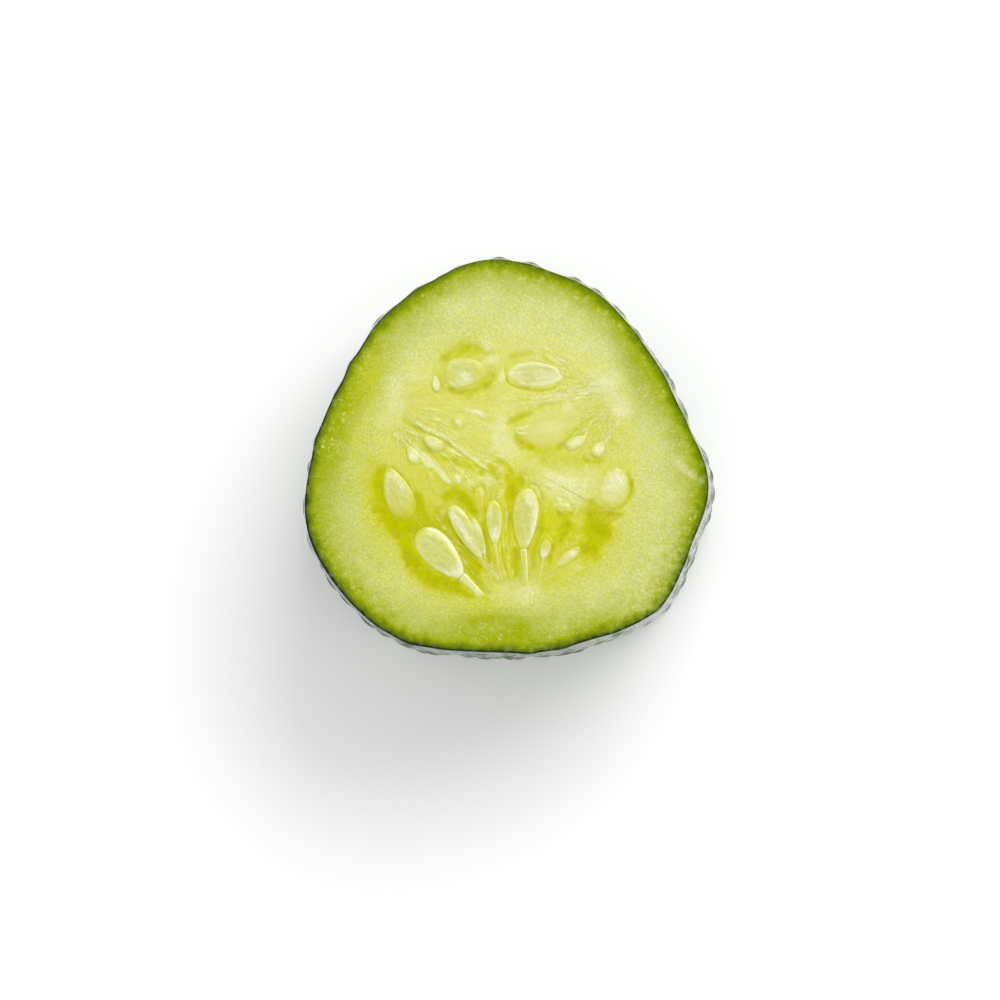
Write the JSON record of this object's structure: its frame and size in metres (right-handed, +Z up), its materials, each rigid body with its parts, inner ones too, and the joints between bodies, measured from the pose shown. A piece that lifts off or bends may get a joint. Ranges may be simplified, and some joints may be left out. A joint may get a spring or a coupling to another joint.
{
  "type": "cucumber slice",
  "caption": "Thick slice of a garden cucumber with warty skin, standing on its lower cut face, with seeds in three chambers on both cut faces.",
  "frame": {"origin": "on the ground under the middle of the slice, in the plane of its lower cut face", "axes": "+Z up, along the cucumber, from the lower cut face to the upper one; +Y towards the single corner of the rounded triangular outline; +X to its right, seen from above"},
  "size_m": [0.0446, 0.044, 0.0243],
  "materials": {
    "cucumber_flesh": "wet translucent pale green flesh inside a thin, waxy dark green skin",
    "seed_coat": "smooth wet cream seed coat"
  },
  "bodies": {
    "root": {"fruit": "cucumber_flesh", "seeds_top_front": "seed_coat", "seeds_top_left": "seed_coat", "seeds_top_right": "seed_coat", "seeds_base_front": "seed_coat", "seeds_base_left": "seed_coat", "seeds_base_right": "seed_coat"}
  },
  "joints": []
}
